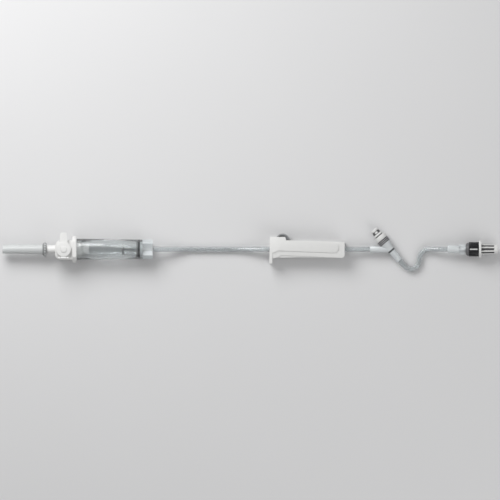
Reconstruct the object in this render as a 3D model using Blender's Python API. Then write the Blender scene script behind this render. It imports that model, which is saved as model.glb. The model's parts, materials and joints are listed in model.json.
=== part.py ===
"""Gravity infusion set on a table: covered spike, drip chamber, roller clamp, side port and capped luer lock.

Metres, +Z up. The set runs along X from the spike cover to the luer cap, and the origin is under its middle.
"""

from math import asin, ceil, cos, pi, radians, sin, sqrt, tau

import bmesh
import bpy
import numpy as np
from mathutils import Vector

MM = 0.001
FINE = 40
ROUND = 28
SMALL = 12
SMOOTH_ANGLE = radians(35)

# Fits shared by all pieces
SEAT_GAP = 0.22 * MM
RUNNING_GAP = 0.3 * MM
PASS = 1.0 * MM

# Tube
TUBE_DIAMETER = 4.2 * MM
TUBE_RADIUS = TUBE_DIAMETER / 2
LUMEN_RADIUS = 1.4 * MM
SOCKET_RADIUS = TUBE_RADIUS + SEAT_GAP
SOCKET_WALL = 0.45 * MM
SOCKET_DEPTH = 6.0 * MM
MAIN_TUBE_RING_PITCH = 5.8 * MM
LOWER_TUBE_RING_PITCH = 2.2 * MM

# Spike housing, one moulding from the piercing tip to the drop nozzle
SPIKE_LENGTH = 27.0 * MM
SPIKE_RADIUS = 2.35 * MM
SPIKE_ROOT_RADIUS = 2.75 * MM
SPIKE_TAPER_LENGTH = 9.0 * MM
SPIKE_POINT_RADIUS = 0.4 * MM
SPIKE_CUT_ANGLE = radians(17)
HUB_LENGTH = 9.3 * MM
HUB_RADIUS = 3.28 * MM
FLUID_WAY_RADIUS = 0.95 * MM
FLUID_WAY_DROP = 0.75 * MM
AIR_WAY_RADIUS = 0.55 * MM
AIR_WAY_RISE = 1.25 * MM
VENT_BODY_LENGTH = 13.7 * MM
VENT_BODY_UP = 7.1 * MM
VENT_BODY_DOWN = 8.4 * MM
VENT_BODY_CORNER = 4.4 * MM
VENT_BODY_BELOW = 6.2 * MM
VENT_BODY_ABOVE = 5.6 * MM
VENT_BODY_EDGE = 0.45 * MM
FLANGE_THICKNESS = 3.4 * MM
FLANGE_RADIUS = 10.56 * MM
FLANGE_EDGE = 0.6 * MM
FLANGE_HALF_HEIGHT = 8.5 * MM
DOME_LENGTH = 5.5 * MM
DOME_CORNER = 2.6 * MM
NOZZLE_LENGTH = 5.0 * MM
NOZZLE_RADIUS = 3.9 * MM
NOZZLE_WALL = 0.8 * MM
NOZZLE_DEPTH = 4.2 * MM
DROPPER_RADIUS = 1.5 * MM
DROPPER_BORE = 0.75 * MM
DROPPER_SETBACK = 1.0 * MM

# Vent cup, membrane and hinged flap on top of the vent body
CUP_RADIUS = 6.1 * MM
CUP_HEIGHT = 2.0 * MM
CUP_BORE = 4.9 * MM
CUP_BORE_DEPTH = 1.4 * MM
LEDGE_BORE = 3.6 * MM
LEDGE_DEPTH = 1.2 * MM
VENT_HOLE_RADIUS = 0.6 * MM
MEMBRANE_THICKNESS = 0.35 * MM
LID_THICKNESS = 1.6 * MM
LID_EDGE = 0.35 * MM
LID_BOSS_RADIUS = 2.7 * MM
LID_BOSS_HEIGHT = 0.5 * MM
LID_LIP_WALL = 0.8 * MM
TAB_REACH = 13.4 * MM
TAB_ROOT_WIDTH = 7.2 * MM
TAB_END_WIDTH = 4.8 * MM
TAB_CORNER = 1.0 * MM
HINGE_OFFSET = 6.9 * MM
KNUCKLE_LENGTH = 4.6 * MM
HINGE_PIN_RADIUS = 0.5 * MM
HINGE_PIN_LENGTH = 1.25 * MM
LUG_RADIUS = 1.0 * MM
LUG_THICKNESS = 1.6 * MM
LUG_SKIN = 0.4 * MM

# Spike cover
COVER_OVERLAP = 2.4 * MM
COVER_END_ROOM = 4.9 * MM
COVER_END_WALL = 0.9 * MM
COVER_END_RADIUS = 3.45 * MM
COVER_MOUTH_RADIUS = 4.0 * MM
COVER_WALL = 0.7 * MM
COVER_CORNER = 0.5 * MM
BEAD_LENGTH = 3.2 * MM
BEAD_RADIUS = 5.88 * MM
BEAD_TEETH = 16
BEAD_TOOTH_DEPTH = 0.4 * MM

# Drip chamber
CHAMBER_LENGTH = 52.5 * MM
CHAMBER_TOP_RADIUS = 8.44 * MM
CHAMBER_BOTTOM_RADIUS = 7.88 * MM
CHAMBER_WALL = 1.0 * MM

# Chamber base with its fins and tube socket
BASE_DISC_THICKNESS = 2.3 * MM
FIN_LENGTH = 8.1 * MM
FIN_THICKNESS = 1.2 * MM
FIN_ANGLES = (0, 50, 130, 180, 230, 310)

# Fluid filter over the chamber's outlet
MESH_THICKNESS = 1.5 * MM
FRAME_THICKNESS = 1.0 * MM
FRAME_RIM_WIDTH = 0.9 * MM
FRAME_HUB_RADIUS = 1.3 * MM
FRAME_ARMS = 4
FRAME_ARM_WIDTH = 0.9 * MM
STEM_LENGTH = 11.8 * MM
STEM_RADIUS = 0.5 * MM
STEM_BOSS_LENGTH = 1.6 * MM
STEM_BOSS_RADIUS = 0.8 * MM
STEM_DISC_THICKNESS = 1.0 * MM
STEM_DISC_RADIUS = 4.1 * MM

# Roller clamp, measured from its left end, from the tube's line and from its middle plane
CLAMP_LENGTH = 60.3 * MM
CLAMP_WIDTH = 13.0 * MM
CLAMP_HEAD_HEIGHT = 9.9 * MM
CLAMP_HEAD_LENGTH = 12.7 * MM
CLAMP_STEP = 0.8 * MM
CLAMP_WALL_START = 7.2 * MM
CLAMP_WALL_END = 5.9 * MM
CLAMP_KEEL_DEPTH = 6.9 * MM
CLAMP_KEEL_START = 6.4 * MM
CLAMP_KEEL_BULGE = 6.8 * MM
CLAMP_HEEL_DEPTH = 7.4 * MM
CLAMP_HEEL_END = 7.2 * MM
CLAMP_BULGE_AT = 9.6 * MM
CLAMP_WAIST_AT = 24.1 * MM
CLAMP_LEAN = 0.5 * MM
CLAMP_EDGE = 0.4 * MM
CLAMP_CORNER = 2.6 * MM
CLAMP_LEG_DEPTH = 11.4 * MM
CLAMP_LEFT_WALL = 2.4 * MM
CLAMP_RIGHT_WALL = 3.4 * MM
CHANNEL_WIDTH = 8.6 * MM
CHANNEL_FLOOR = 3.6 * MM
PANEL_STEP = 0.6 * MM
PANEL_LEFT_DROP = 2.95 * MM
PANEL_KNEE_AT = 4.4 * MM
PANEL_KNEE_DROP = 2.35 * MM
PANEL_RISE_DROP = 1.05 * MM
PANEL_RISE_END = 7.1 * MM
PANEL_RIGHT_DROP = 2.8 * MM
PANEL_RIGHT = 55.4 * MM
PANEL_CORNER = 3.6 * MM
KEEL_STEP = 0.6 * MM
KEEL_TOP_DROP = 4.6 * MM
KEEL_TOP_AT = 9.5 * MM
KEEL_FOOT_DROP = 5.8 * MM
KEEL_FOOT_AT = 7.5 * MM
CORE_DEPTH = 1.9 * MM
CORE_WIDTH = 6.6 * MM
CORE_POCKETS = 3
CORE_LEFT = 12.0 * MM
CORE_RIGHT = 54.0 * MM
CORE_RIB = 1.4 * MM
PORT_GAP = 0.35 * MM

# Clamp wheel and its two inclined tracks
WHEEL_RADIUS = 5.7 * MM
WHEEL_TEETH = 22
WHEEL_TOOTH_DEPTH = 0.25 * MM
WHEEL_RIM = 1.2 * MM
WHEEL_WEB_RECESS = 1.2 * MM
WHEEL_BOSS_RADIUS = 2.0 * MM
WHEEL_START = 10.7 * MM
WHEEL_HEIGHT = 6.95 * MM
TRUNNION_RADIUS = 0.95 * MM
TRACK_DEPTH = 0.9 * MM
TRACK_ANGLE = radians(6)
TRACK_TRAVEL = 37.0 * MM

# Side port: inlet leg and barrel in one moulding, with stations along the barrel from their crossing
PORT_ANGLE = radians(49.7)
LEG_LENGTH = 16.3 * MM
GUSSET_THICKNESS = 1.6 * MM
GUSSET_START = 11.2 * MM
GUSSET_TOP = -8.2 * MM
GUSSET_BLUNT = 0.6 * MM
BARREL_SHOULDER = -6.4 * MM
BARREL_SHOULDER_RADIUS = 4.8 * MM
BELL_END = 0.7 * MM
BARREL_END = 11.6 * MM
JUNCTION_LENGTH = 0.9 * MM
JUNCTION_HEIGHT = 0.35 * MM
LEG_WAY_RADIUS = 1.1 * MM
LEG_RADIUS = 2.72 * MM
SPIGOT_WALL = 0.7 * MM

# Needle-free valve in the barrel's upper end
VALVE_TOP = -20.65 * MM
LIP_LENGTH = 2.0 * MM
LIP_RADIUS = 3.15 * MM
LIP_EDGE = 0.4 * MM
NECK_RADIUS = 2.85 * MM
NECK_END_RADIUS = 3.45 * MM
NECK_LENGTH = 2.4 * MM
LOCK_LUG_RADIUS = 3.9 * MM
LOCK_LUG_WIDTH = 2.4 * MM
LOCK_LUG_LENGTH = 1.4 * MM
HEAD_RING_LENGTH = 1.5 * MM
HEAD_RING_RADIUS = 4.0 * MM
HEAD_RING_TOP_RADIUS = 3.75 * MM
HEAD_GROOVE_LENGTH = 0.8 * MM
HEAD_GROOVE_RADIUS = 3.4 * MM
HEAD_SKIRT_LENGTH = 3.7 * MM
HEAD_SKIRT_RADIUS = 4.9 * MM
VALVE_CHAMBER_RADIUS = 3.3 * MM
PLUG_RADIUS = 2.05 * MM
PLUG_PROUD = 0.15 * MM
PLUG_FLANGE_RADIUS = 2.95 * MM
PLUG_FLANGE_LENGTH = 1.2 * MM
PLUG_SKIRT_RADIUS = 2.3 * MM
PLUG_SKIRT_LENGTH = 3.2 * MM
PLUG_EDGE = 0.25 * MM
PLUG_TRAVEL = 3.5 * MM
PLUG_SHOULDER_DEPTH = 1.0 * MM
BAND_COUNT = 2
BAND_DEPTH = 0.2 * MM

# Luer lock: connector, turning collar and vented cap, measured from the connector's left end
CONNECTOR_LENGTH = 9.4 * MM
CONNECTOR_RADIUS = 3.1 * MM
CONNECTOR_NECK_LENGTH = 4.8 * MM
CONNECTOR_NECK_RADIUS = 1.9 * MM
CONNECTOR_BORE = 1.1 * MM
RIB_RADIUS = 3.9 * MM
RIB_THICKNESS = 1.2 * MM
RIB_COUNT = 4
JOURNAL_RADIUS = 2.2 * MM
KEEPER_RADIUS = 3.0 * MM
KEEPER_LENGTH = 0.8 * MM
CONE_ROOT_RADIUS = 2.25 * MM
CONE_TIP_RADIUS = 1.96 * MM
CONE_PROUD = 2.5 * MM
COLLAR_LENGTH = 10.5 * MM
COLLAR_END_WALL = 1.7 * MM
COLLAR_SHOULDER_LENGTH = 2.6 * MM
COLLAR_SHOULDER_RADIUS = 5.2 * MM
COLLAR_SHOULDER_CORNER = 1.8 * MM
COLLAR_RADIUS = 5.72 * MM
COLLAR_BORE = 4.0 * MM
COLLAR_TEETH = 20
COLLAR_TOOTH_DEPTH = 0.4 * MM
CAP_FLANGE_RADIUS = 6.8 * MM
CAP_FLANGE_THICKNESS = 1.8 * MM
CAP_PLUG_WALL = 0.75 * MM
CAP_PLUG_LENGTH = 7.2 * MM
CAP_BORE_ROOM = 0.8 * MM
CAP_FIN_LENGTH = 10.4 * MM
CAP_FIN_ROOT_RADIUS = 4.35 * MM
CAP_FIN_END_RADIUS = 3.85 * MM
CAP_CORE_RADIUS = 2.9 * MM
CAP_CORE_INSET = 0.45 * MM
CAP_FINS = 8
CAP_FIN_THICKNESS = 1.2 * MM
CAP_END_LENGTH = 3.0 * MM
CAP_END_RADIUS = 3.5 * MM
CAP_END_CORNER = 0.6 * MM
CAP_VENT_RADIUS = 0.8 * MM
CAP_VENT_MOUTH = 2.2 * MM
CAP_VENT_DEPTH = 1.8 * MM

# Places on the table
SET_Y = -2.92 * MM
FLANGE_X = -142.4 * MM
CLAMP_X = 15.28 * MM
LEG_X = 95.84 * MM
CONNECTOR_X = 157.92 * MM
TUBE_BED = TUBE_RADIUS + 0.05 * MM

# Stations that follow from the sizes above
SPIKE_Z = FLANGE_HALF_HEIGHT
VENT_BODY_X = FLANGE_X - VENT_BODY_LENGTH
HUB_X = VENT_BODY_X - HUB_LENGTH
SPIKE_TIP_X = HUB_X - SPIKE_LENGTH
VENT_X = FLANGE_X - VENT_BODY_LENGTH / 2 - 0.1 * MM
CUP_TOP = SPIKE_Z + VENT_BODY_ABOVE + CUP_HEIGHT
CUP_LEDGE = CUP_TOP - CUP_BORE_DEPTH
LID_BOTTOM = CUP_TOP + SEAT_GAP
HINGE_Y = SET_Y - HINGE_OFFSET
HINGE_Z = LID_BOTTOM + LID_THICKNESS / 2
CHAMBER_X = FLANGE_X + FLANGE_THICKNESS + SEAT_GAP
CHAMBER_END_X = CHAMBER_X + CHAMBER_LENGTH
BASE_SHOULDER_X = CHAMBER_END_X + SEAT_GAP
BASE_DISC_X = BASE_SHOULDER_X - BASE_DISC_THICKNESS
BASE_END_X = BASE_SHOULDER_X + FIN_LENGTH
MESH_X = BASE_DISC_X - SEAT_GAP - MESH_THICKNESS
FRAME_X = MESH_X - SEAT_GAP - FRAME_THICKNESS
CLAMP_Z = CLAMP_WIDTH / 2
CLAMP_TUBE_DROP = CHANNEL_FLOOR - RUNNING_GAP - TUBE_RADIUS
SITE_Z = HEAD_SKIRT_RADIUS
SITE_X = LEG_X + LEG_LENGTH
HEAD_RING = VALVE_TOP + LIP_LENGTH + NECK_LENGTH
HEAD_GROOVE = HEAD_RING + HEAD_RING_LENGTH
HEAD_SKIRT = HEAD_GROOVE + HEAD_GROOVE_LENGTH
HEAD_END = HEAD_SKIRT + HEAD_SKIRT_LENGTH
PLUG_SHOULDER = HEAD_SKIRT + PLUG_SHOULDER_DEPTH
PLUG_BOTTOM = PLUG_SHOULDER + RUNNING_GAP + PLUG_FLANGE_LENGTH + PLUG_SKIRT_LENGTH
VALVE_FLOOR = PLUG_BOTTOM + PLUG_TRAVEL + RUNNING_GAP
LUER_Z = CAP_FLANGE_RADIUS
NECK_X = CONNECTOR_X + CONNECTOR_LENGTH
COLLAR_X = NECK_X + CONNECTOR_NECK_LENGTH + SEAT_GAP
KEEPER_X = COLLAR_X + COLLAR_END_WALL + SEAT_GAP
COLLAR_END_X = COLLAR_X + COLLAR_LENGTH
CONE_TIP_X = COLLAR_END_X + CONE_PROUD
CAP_FLANGE_X = COLLAR_END_X + SEAT_GAP


def clear_scene():
    for obj in list(bpy.data.objects):
        bpy.data.objects.remove(obj, do_unlink=True)


def plastic(name, colour, roughness, alpha=1.0):
    made = bpy.data.materials.new(name)
    made.use_nodes = True
    shader = made.node_tree.nodes["Principled BSDF"]
    shader.inputs["Base Color"].default_value = (*colour, 1.0)
    shader.inputs["Roughness"].default_value = roughness
    shader.inputs["Metallic"].default_value = 0.0
    shader.inputs["Alpha"].default_value = alpha
    made.diffuse_color = (*colour, alpha)
    return made


def finish_object(name, bm, at=(0, 0, 0), turn=(0, 0, 0)):
    """The bmesh as an object, faces out and shaded smooth between sharp edges."""
    bmesh.ops.recalc_face_normals(bm, faces=bm.faces)
    mesh = bpy.data.meshes.new(name)
    bm.to_mesh(mesh)
    bm.free()
    mesh.shade_smooth()
    mesh.set_sharp_from_angle(angle=SMOOTH_ANGLE)
    obj = bpy.data.objects.new(name, mesh)
    obj.location = at
    obj.rotation_euler = turn
    bpy.context.scene.collection.objects.link(obj)
    return obj


ALONG_X = (0, 0, 0)
UPRIGHT = (0, -pi / 2, 0)
DOWN_BARREL = (0, 0, -PORT_ANGLE)


def turned(name, profile, at=(0, 0, 0), turn=ALONG_X, steps=ROUND, ring=False, teeth=None):
    """A profile of (distance, radius) points spun about local X. A ring's profile closes on itself.

    teeth is (first distance, last distance, least radius, depth): every other line of points there moves in.
    """
    bm = bmesh.new()
    points = [bm.verts.new((along, 0, radius)) for along, radius in profile]
    pairs = list(zip(points, points[1:]))
    if ring:
        pairs.append((points[-1], points[0]))
    lines = [bm.edges.new(pair) for pair in pairs]
    bmesh.ops.spin(bm, geom=points + lines, cent=(0, 0, 0), axis=(1, 0, 0), angle=tau, steps=steps)
    bmesh.ops.remove_doubles(bm, verts=bm.verts, dist=1e-7)
    if teeth:
        first, last, least, depth = teeth
        for point in bm.verts:
            radius = sqrt(point.co.y**2 + point.co.z**2)
            if not (first <= point.co.x <= last and radius >= least):
                continue
            line = round(np.arctan2(point.co.y, point.co.z) / tau * steps)
            if line % 2:
                point.co.y *= 1 - depth / radius
                point.co.z *= 1 - depth / radius
    return finish_object(name, bm, at, turn)


def prism(name, outline, low, high, at=(0, 0, 0), turn=(0, 0, 0)):
    """A flat outline in local XY pushed from z = low to z = high."""
    bm = bmesh.new()
    face = bm.faces.new([bm.verts.new((x, y, low)) for x, y in outline])
    pushed = bmesh.ops.extrude_face_region(bm, geom=[face])["geom"]
    tops = [item for item in pushed if isinstance(item, bmesh.types.BMVert)]
    bmesh.ops.translate(bm, vec=(0, 0, high - low), verts=tops)
    return finish_object(name, bm, at, turn)


def box(name, low, high, at=(0, 0, 0), turn=(0, 0, 0)):
    outline = [(low[0], low[1]), (high[0], low[1]), (high[0], high[1]), (low[0], high[1])]
    return prism(name, outline, low[2], high[2], at, turn)


def arc(centre, radius, start, end, steps=3):
    """Points on an arc in the plane, from angle start to angle end in degrees."""
    turns = [radians(start + (end - start) * i / steps) for i in range(steps + 1)]
    return [(centre[0] + radius * cos(a), centre[1] + radius * sin(a)) for a in turns]


def rounded(corners, steps=4):
    """An outline of (x, y, radius) corners with an arc tangent to both sides at each corner."""
    outline = []
    for i, (x, y, radius) in enumerate(corners):
        here = Vector((x, y))
        if radius == 0:
            outline.append((x, y))
            continue
        back = (Vector(corners[i - 1][:2]) - here).normalized()
        onward = (Vector(corners[(i + 1) % len(corners)][:2]) - here).normalized()
        half = back.angle(onward) / 2
        reach = radius / np.tan(half)
        centre = here + (back + onward).normalized() * radius / sin(half)
        start = here + back * reach - centre
        end = here + onward * reach - centre
        for step in range(steps + 1):
            share = step / steps
            swing = start.angle_signed(end) * share
            outline.append(tuple(centre + Vector((
                start.x * cos(swing) + start.y * sin(swing),
                start.y * cos(swing) - start.x * sin(swing),
            ))))
    return outline


def combine(target, tools, operation):
    """One exact Boolean with all tools at once. They stay in the file as hidden wire guides."""
    group = bpy.data.collections.new(f"{target.name}_{operation.lower()}")
    bpy.context.scene.collection.children.link(group)
    for tool in tools:
        bpy.context.scene.collection.objects.unlink(tool)
        group.objects.link(tool)
        tool.hide_render = True
        tool.display_type = "WIRE"
    change = target.modifiers.new(operation.lower(), "BOOLEAN")
    change.operation = operation
    change.solver = "EXACT"
    change.operand_type = "COLLECTION"
    change.collection = group


def cut(target, *tools):
    combine(target, tools, "DIFFERENCE")


def weld(target, *tools):
    combine(target, tools, "UNION")


def rod(name, start, end, radius, at=(0, 0, 0), turn=ALONG_X, steps=SMALL):
    profile = [(start, 0), (start, radius), (end, radius), (end, 0)]
    return turned(name, profile, at, turn, steps)


def chamber_radius(x):
    """The drip chamber's outer radius at x."""
    share = (x - CHAMBER_X) / CHAMBER_LENGTH
    return CHAMBER_TOP_RADIUS + (CHAMBER_BOTTOM_RADIUS - CHAMBER_TOP_RADIUS) * share


def chamber_bore(x):
    return chamber_radius(x) - CHAMBER_WALL


def spike_profile():
    """Tip, shaft and hub, then flange, dome plug and drop nozzle, from left to right."""
    dome_radius = chamber_bore(CHAMBER_X + DOME_LENGTH) - SEAT_GAP
    flange_end = FLANGE_X + FLANGE_THICKNESS
    dome_end = flange_end + DOME_LENGTH
    nozzle_end = dome_end + NOZZLE_LENGTH
    nozzle_bore = NOZZLE_RADIUS - NOZZLE_WALL
    dome_corner = arc((dome_end - DOME_CORNER, dome_radius - DOME_CORNER), DOME_CORNER, 90, 0)
    return [
        (SPIKE_TIP_X, 0),
        (SPIKE_TIP_X, SPIKE_POINT_RADIUS),
        (SPIKE_TIP_X + SPIKE_TAPER_LENGTH * 0.5, SPIKE_RADIUS * 0.68),
        (SPIKE_TIP_X + SPIKE_TAPER_LENGTH, SPIKE_RADIUS),
        (HUB_X, SPIKE_ROOT_RADIUS),
        (HUB_X, HUB_RADIUS),
        (FLANGE_X, HUB_RADIUS),
        (FLANGE_X, FLANGE_RADIUS - FLANGE_EDGE),
        (FLANGE_X + FLANGE_EDGE, FLANGE_RADIUS),
        (flange_end - FLANGE_EDGE, FLANGE_RADIUS),
        (flange_end, FLANGE_RADIUS - FLANGE_EDGE),
        (flange_end, dome_radius),
        *dome_corner,
        (dome_end, NOZZLE_RADIUS),
        (nozzle_end, NOZZLE_RADIUS),
        (nozzle_end, nozzle_bore),
        (nozzle_end - NOZZLE_DEPTH, nozzle_bore),
        (nozzle_end - NOZZLE_DEPTH, DROPPER_RADIUS),
        (nozzle_end - DROPPER_SETBACK, DROPPER_RADIUS),
        (nozzle_end - DROPPER_SETBACK, 0),
    ]


def vent_body():
    """The block around the hub that carries the vent, rounded on its spike side."""
    sides = rounded([
        (VENT_BODY_X, VENT_BODY_UP, VENT_BODY_CORNER),
        (VENT_BODY_X, -VENT_BODY_DOWN, VENT_BODY_CORNER),
        (FLANGE_X + PASS, -VENT_BODY_DOWN, 0),
        (FLANGE_X + PASS, VENT_BODY_UP, 0),
    ])
    block = prism("vent_block", sides, -VENT_BODY_BELOW, VENT_BODY_ABOVE, (0, SET_Y, SPIKE_Z))
    edges = block.modifiers.new("soft edges", "BEVEL")
    edges.width = VENT_BODY_EDGE
    edges.segments = 1
    edges.limit_method = "ANGLE"
    edges.angle_limit = radians(60)
    block.modifiers.new("flat faces", "TRIANGULATE")
    return block


def vent_cup():
    bottom = VENT_BODY_ABOVE - PASS
    top = VENT_BODY_ABOVE + CUP_HEIGHT
    return rod("vent_cup", bottom, top, CUP_RADIUS, (VENT_X, SET_Y, SPIKE_Z), UPRIGHT, ROUND)


def vent_recess():
    """The stepped well under the flap: lip seat, membrane ledge, and the hole down to the air way."""
    ledge = CUP_LEDGE - SPIKE_Z
    profile = [
        (AIR_WAY_RISE, 0),
        (AIR_WAY_RISE, VENT_HOLE_RADIUS),
        (ledge - LEDGE_DEPTH, VENT_HOLE_RADIUS),
        (ledge - LEDGE_DEPTH, LEDGE_BORE),
        (ledge, LEDGE_BORE),
        (ledge, CUP_BORE),
        (CUP_TOP - SPIKE_Z + PASS, CUP_BORE),
        (CUP_TOP - SPIKE_Z + PASS, 0),
    ]
    return turned("vent_recess", profile, (VENT_X, SET_Y, SPIKE_Z), UPRIGHT, ROUND)


def hinge_lug(side):
    """One of the two ears that hold the flap's pins, with its foot on the vent body."""
    inner = KNUCKLE_LENGTH / 2 + SEAT_GAP
    foot = SPIKE_Z + VENT_BODY_ABOVE - HINGE_Z - PASS
    outline = [(-LUG_RADIUS, foot), (LUG_RADIUS, foot), *arc((0, 0), LUG_RADIUS, 0, 180, 8)]
    low, high = sorted((side * inner, side * (inner + LUG_THICKNESS)))
    name = "lug_right" if side > 0 else "lug_left"
    return prism(name, outline, low, high, (VENT_X, HINGE_Y, HINGE_Z), (pi / 2, 0, pi / 2))


def spike_housing():
    """Spike with its two ways, vent body, finger flange, chamber plug and drop nozzle."""
    housing = turned("spike_housing", spike_profile(), (0, SET_Y, SPIKE_Z))
    weld(housing, vent_body(), vent_cup(), hinge_lug(-1), hinge_lug(1))
    dome_end = FLANGE_X + FLANGE_THICKNESS + DOME_LENGTH
    fluid_z = SPIKE_Z - FLUID_WAY_DROP
    air_z = SPIKE_Z + AIR_WAY_RISE
    dropper_end = dome_end + NOZZLE_LENGTH
    pin_reach = KNUCKLE_LENGTH / 2 + SEAT_GAP + LUG_THICKNESS - LUG_SKIN
    wide = FLANGE_RADIUS + PASS
    flat_low = (FLANGE_X - PASS, -wide, FLANGE_HALF_HEIGHT)
    flat_high = (FLANGE_X + FLANGE_THICKNESS + PASS, wide, wide)
    slice_low = (-2 * SPIKE_TAPER_LENGTH, -wide, -wide)
    slice_high = (2 * SPIKE_TAPER_LENGTH, wide, -SPIKE_POINT_RADIUS / 2)
    cut(
        housing,
        rod("fluid_way", SPIKE_TIP_X - PASS, dome_end, FLUID_WAY_RADIUS, (0, SET_Y, fluid_z)),
        rod("air_way", SPIKE_TIP_X - PASS, VENT_X, AIR_WAY_RADIUS, (0, SET_Y, air_z)),
        rod("dropper_way", dome_end - PASS, dropper_end, DROPPER_BORE, (0, SET_Y, SPIKE_Z)),
        vent_recess(),
        rod("pin_holes", -pin_reach, pin_reach, HINGE_PIN_RADIUS + SEAT_GAP, (VENT_X, HINGE_Y, HINGE_Z)),
        box("flat_above", flat_low, flat_high, (0, SET_Y, SPIKE_Z)),
        box("flat_below", flat_low, flat_high, (2 * FLANGE_X + FLANGE_THICKNESS, SET_Y, SPIKE_Z), (0, pi, 0)),
        box("tip_slice", slice_low, slice_high, (SPIKE_TIP_X, SET_Y, SPIKE_Z), (0, SPIKE_CUT_ANGLE, 0)),
    )
    return housing


def vent_filter():
    bottom = CUP_LEDGE + SEAT_GAP
    radius = CUP_BORE - RUNNING_GAP
    return rod("vent_filter", 0, MEMBRANE_THICKNESS, radius, (VENT_X, SET_Y, bottom), UPRIGHT, ROUND)


def vent_flap():
    """Lid with its sealing lip and boss, the lifting tab, and the knuckle and pins of its hinge."""
    lid_bottom = -LID_THICKNESS / 2
    lid_top = LID_THICKNESS / 2
    lip_outer = CUP_BORE - RUNNING_GAP
    lip_inner = lip_outer - LID_LIP_WALL
    lip_bottom = CUP_LEDGE + 2 * SEAT_GAP + MEMBRANE_THICKNESS - HINGE_Z
    profile = [
        (lid_bottom, 0),
        (lid_bottom, lip_inner),
        (lip_bottom, lip_inner),
        (lip_bottom, lip_outer),
        (lid_bottom, lip_outer),
        (lid_bottom, CUP_RADIUS),
        (lid_top - LID_EDGE, CUP_RADIUS),
        (lid_top, CUP_RADIUS - LID_EDGE),
        (lid_top, LID_BOSS_RADIUS),
        (lid_top + LID_BOSS_HEIGHT, LID_BOSS_RADIUS - LID_BOSS_HEIGHT / 2),
        (lid_top + LID_BOSS_HEIGHT, 0),
    ]
    lid = turned("vent_lid", profile, (VENT_X, SET_Y, HINGE_Z), UPRIGHT, ROUND)
    lid_centre = HINGE_OFFSET
    tab_root = lid_centre + LID_BOSS_RADIUS + LID_EDGE
    tab_end = lid_centre + TAB_REACH
    tab_outline = rounded([
        (-TAB_ROOT_WIDTH / 2, tab_root, 0),
        (TAB_ROOT_WIDTH / 2, tab_root, 0),
        (TAB_END_WIDTH / 2, tab_end, TAB_CORNER),
        (-TAB_END_WIDTH / 2, tab_end, TAB_CORNER),
    ])
    at = (VENT_X, HINGE_Y, HINGE_Z)
    tab = prism("vent_tab", tab_outline, lid_bottom, lid_top - LID_EDGE, at)
    web_end = lid_centre - CUP_RADIUS + PASS
    web_half = KNUCKLE_LENGTH / 2 - SEAT_GAP
    web = box("vent_web", (-web_half, 0, lid_bottom), (web_half, web_end, lid_top - LID_EDGE), at)
    pin_reach = KNUCKLE_LENGTH / 2 + HINGE_PIN_LENGTH
    pins = rod("vent_pins", -pin_reach, pin_reach, HINGE_PIN_RADIUS, at)
    flap = rod("vent_flap", -KNUCKLE_LENGTH / 2, KNUCKLE_LENGTH / 2, LID_THICKNESS / 2, at)
    weld(flap, web, lid, tab, pins)
    return flap


def spike_cover():
    """Closed sleeve over the spike, gripping the hub inside its toothed bead."""
    mouth = COVER_OVERLAP
    hub_seat = -SEAT_GAP
    inner_end = -SPIKE_LENGTH - COVER_END_ROOM
    outer_end = inner_end - COVER_END_WALL
    bead_start = mouth - BEAD_LENGTH
    bead_step = BEAD_LENGTH / 4
    grip = HUB_RADIUS + SEAT_GAP
    end_corner = arc((outer_end + COVER_CORNER, COVER_END_RADIUS - COVER_CORNER), COVER_CORNER, 180, 90)
    profile = [
        (outer_end, 0),
        *end_corner,
        (bead_start, COVER_MOUTH_RADIUS),
        (bead_start + bead_step, (COVER_MOUTH_RADIUS + BEAD_RADIUS) / 2),
        (bead_start + 2 * bead_step, BEAD_RADIUS),
        (mouth - bead_step, BEAD_RADIUS),
        (mouth, (COVER_MOUTH_RADIUS + BEAD_RADIUS) / 2),
        (mouth, grip),
        (hub_seat, grip),
        (hub_seat, COVER_MOUTH_RADIUS - COVER_WALL),
        (inner_end, COVER_END_RADIUS - COVER_WALL),
        (inner_end, 0),
    ]
    teeth = (bead_start + bead_step / 2, mouth, grip + COVER_WALL, BEAD_TOOTH_DEPTH)
    at = (HUB_X, SET_Y, SPIKE_Z)
    return turned("spike_cover", profile, at, steps=2 * BEAD_TEETH, teeth=teeth)


def drip_chamber():
    profile = [
        (CHAMBER_X, chamber_bore(CHAMBER_X)),
        (CHAMBER_X, chamber_radius(CHAMBER_X)),
        (CHAMBER_END_X, chamber_radius(CHAMBER_END_X)),
        (CHAMBER_END_X, chamber_bore(CHAMBER_END_X)),
    ]
    return turned("drip_chamber", profile, (0, SET_Y, SPIKE_Z), steps=FINE, ring=True)


def chamber_base():
    """Plug in the chamber's end with the tube socket behind it, braced by six fins."""
    disc_radius = chamber_bore(CHAMBER_END_X) - SEAT_GAP
    sleeve = SOCKET_RADIUS + SOCKET_WALL
    socket_floor = BASE_END_X - SOCKET_DEPTH
    profile = [
        (BASE_DISC_X, LUMEN_RADIUS),
        (BASE_DISC_X, disc_radius),
        (BASE_SHOULDER_X, disc_radius),
        (BASE_SHOULDER_X, sleeve),
        (BASE_END_X, sleeve),
        (BASE_END_X, SOCKET_RADIUS),
        (socket_floor, SOCKET_RADIUS),
        (socket_floor, LUMEN_RADIUS),
    ]
    base = turned("chamber_base", profile, (0, SET_Y, SPIKE_Z), ring=True)
    low = (BASE_SHOULDER_X - SEAT_GAP / 2, SOCKET_RADIUS + SOCKET_WALL / 2, -FIN_THICKNESS / 2)
    high = (BASE_END_X - SEAT_GAP / 2, CHAMBER_BOTTOM_RADIUS, FIN_THICKNESS / 2)
    weld(base, *[
        box(f"fin_{number}", low, high, (0, SET_Y, SPIKE_Z), (radians(angle), 0, 0))
        for number, angle in enumerate(FIN_ANGLES)
    ])
    return base


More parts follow.
